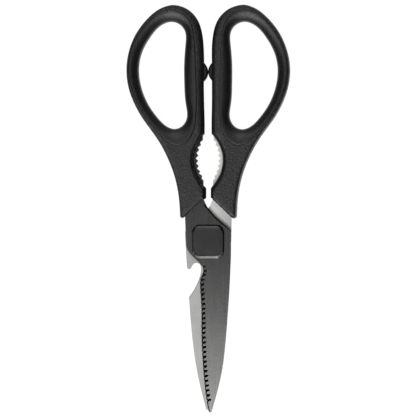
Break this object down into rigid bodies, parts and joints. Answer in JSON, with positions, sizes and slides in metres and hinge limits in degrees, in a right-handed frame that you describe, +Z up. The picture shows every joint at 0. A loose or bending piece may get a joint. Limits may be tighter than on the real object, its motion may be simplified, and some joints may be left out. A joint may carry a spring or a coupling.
{
  "type": "kitchen shears",
  "caption": "Kitchen shears with moulded finger-loop handles, a serrated blade, a bottle-opener notch and a toothed nutcracker opening.",
  "frame": {"origin": "under the middle of the whole closed shears, on the surface that they lie on; the pivot axis is at x 0, y -16.9 mm", "axes": "+Y from the blade tips towards the finger loops, +Z up out of the front blade's outer face, +X to the right seen from above"},
  "size_m": [0.0846, 0.21, 0.011],
  "materials": {
    "dark_satin_steel": "dark satin, fine grinding lines, lighter towards the tip",
    "ground_steel": "bright ground inner face",
    "handle_plastic": "black, fine moulded grain",
    "liner_rubber": "black soft liner, smoother than the handle",
    "bumper_rubber": "black soft stop",
    "cap_steel": "dark satin with a brighter bevelled rim",
    "fastener_steel": "turned steel",
    "washer_plastic": "pale low-friction plastic"
  },
  "bodies": {
    "back_half": {"back_blade": "ground_steel", "right_handle": "handle_plastic", "right_grip_liner": "liner_rubber", "right_bumper": "bumper_rubber", "pivot_nut": "fastener_steel", "pivot_screw": "fastener_steel", "spring_washer": "fastener_steel", "friction_washer": "washer_plastic"},
    "front_half": {"front_blade": "dark_satin_steel", "left_handle": "handle_plastic", "left_grip_liner": "liner_rubber", "left_bumper": "bumper_rubber", "pivot_cap": "cap_steel"}
  },
  "joints": [
    {"name": "blade_pivot", "type": "hinge", "parent": "back_half", "child": "front_half", "pos_m": [0, -0.0169, 0.0055], "axis": [0, 0, 1], "range_deg": [0, 80]}
  ]
}
